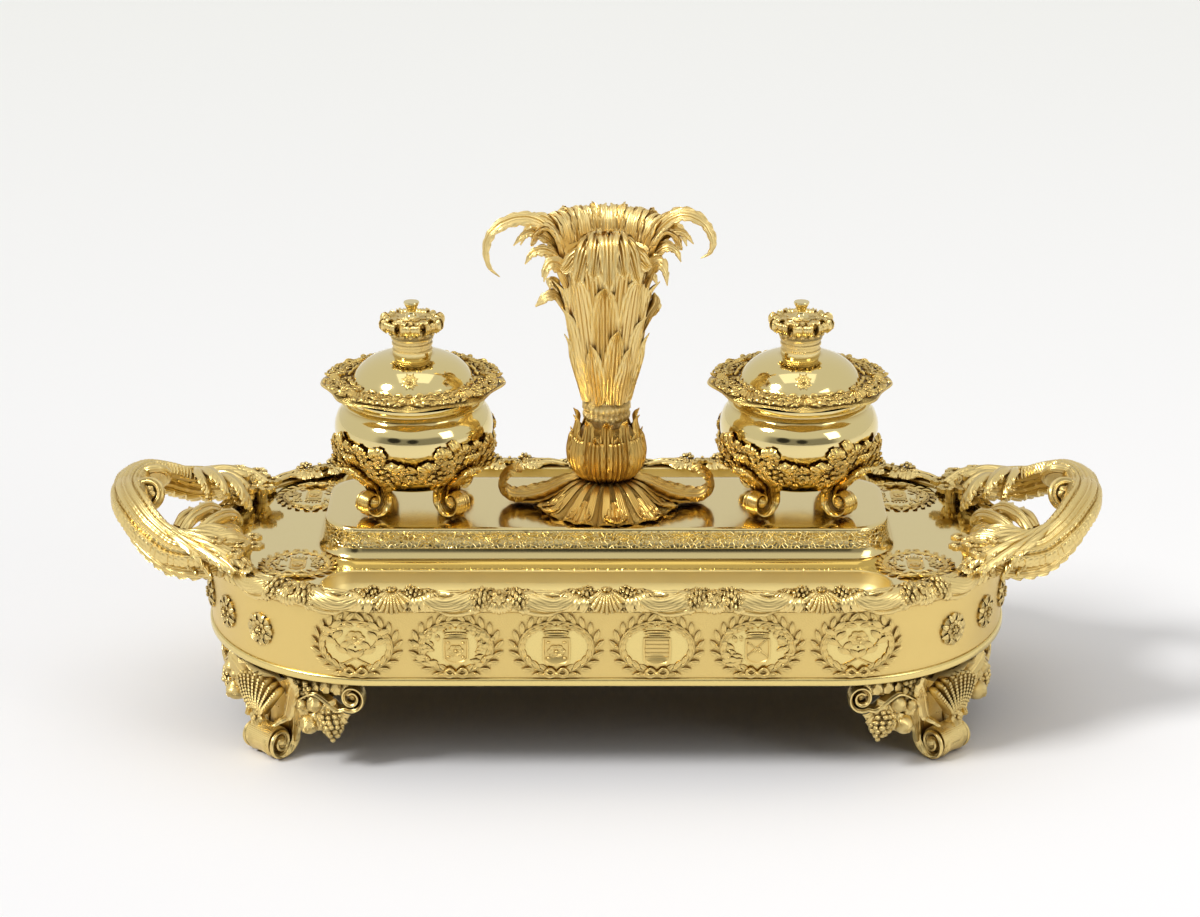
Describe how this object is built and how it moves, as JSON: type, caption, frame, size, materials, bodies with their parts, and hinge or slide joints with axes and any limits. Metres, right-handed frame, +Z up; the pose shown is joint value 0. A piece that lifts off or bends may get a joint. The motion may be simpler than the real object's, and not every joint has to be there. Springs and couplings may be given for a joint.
{
  "type": "desk inkstand",
  "caption": "Oblong gilt inkstand on scroll feet: banded tray with leaf handles, pen troughs, lidded ink pots on a raised platform and a leaf-shaped pen vase",
  "frame": {"origin": "under the tray's middle, on the table", "axes": "+X along the tray to the right as the front is seen, +Y to the back, +Z up"},
  "size_m": [0.4282, 0.1688, 0.2286],
  "materials": {
    "burnished_gilt": "burnished, near mirror",
    "matted_gilt": "matted, with a fine grain",
    "chased_gilt": "cast and chased, darker in the hollows",
    "ink_glass": "clear moulded glass"
  },
  "bodies": {
    "tray": {"base_plate": "burnished_gilt", "side_band": "matted_gilt", "deck_plate": "burnished_gilt", "pen_trough_front": "burnished_gilt", "pen_trough_back": "burnished_gilt", "platform": "burnished_gilt", "leaf_border": "chased_gilt", "foot_front_left": "chased_gilt", "foot_front_right": "chased_gilt", "foot_back_left": "chased_gilt", "foot_back_right": "chased_gilt", "foot_nut_front_left": "matted_gilt", "foot_nut_front_right": "matted_gilt", "foot_nut_back_left": "matted_gilt", "foot_nut_back_right": "matted_gilt", "handle_nut_front_left": "matted_gilt", "handle_nut_front_right": "matted_gilt", "handle_nut_back_left": "matted_gilt", "handle_nut_back_right": "matted_gilt", "deck_medallion_front_left": "matted_gilt", "deck_medallion_front_right": "matted_gilt", "deck_medallion_back_left": "matted_gilt", "deck_medallion_back_right": "matted_gilt", "handle_left": "chased_gilt", "handle_right": "chased_gilt", "band_medallion_front_1": "matted_gilt", "band_medallion_front_2": "matted_gilt", "band_medallion_front_3": "matted_gilt", "band_medallion_front_4": "matted_gilt", "band_medallion_front_5": "matted_gilt", "band_medallion_front_6": "matted_gilt", "band_medallion_back_1": "matted_gilt", "band_medallion_back_2": "matted_gilt", "band_medallion_back_3": "matted_gilt", "band_medallion_back_4": "matted_gilt", "band_medallion_back_5": "matted_gilt", "band_medallion_back_6": "matted_gilt", "vase_base": "chased_gilt", "vase_calyx": "chased_gilt", "pen_vase": "chased_gilt", "vase_nut": "matted_gilt"},
    "pot_left": {"pot_stand_left": "chased_gilt", "pot_bowl_left": "burnished_gilt"},
    "liner_left": {"pot_liner_left": "ink_glass"},
    "lid_left": {"pot_lid_left": "burnished_gilt", "crown_finial_left": "chased_gilt", "finial_knob_left": "burnished_gilt"},
    "pot_right": {"pot_stand_right": "chased_gilt", "pot_bowl_right": "burnished_gilt"},
    "liner_right": {"pot_liner_right": "ink_glass"},
    "lid_right": {"pot_lid_right": "burnished_gilt", "crown_finial_right": "chased_gilt", "finial_knob_right": "burnished_gilt"}
  },
  "joints": [
    {"name": "pot_left_lift", "type": "slide", "parent": "tray", "child": "pot_left", "axis": [-0.6, 0, 0.8], "range_m": [0, 0.06]},
    {"name": "liner_left_lift", "type": "slide", "parent": "pot_left", "child": "liner_left", "axis": [0, 0, 1], "range_m": [0, 0.012]},
    {"name": "lid_left_lift", "type": "slide", "parent": "liner_left", "child": "lid_left", "axis": [0, 0, 1], "range_m": [0, 0.028]},
    {"name": "pot_right_lift", "type": "slide", "parent": "tray", "child": "pot_right", "axis": [0.6, 0, 0.8], "range_m": [0, 0.06]},
    {"name": "liner_right_lift", "type": "slide", "parent": "pot_right", "child": "liner_right", "axis": [0, 0, 1], "range_m": [0, 0.012]},
    {"name": "lid_right_lift", "type": "slide", "parent": "liner_right", "child": "lid_right", "axis": [0, 0, 1], "range_m": [0, 0.028]}
  ]
}
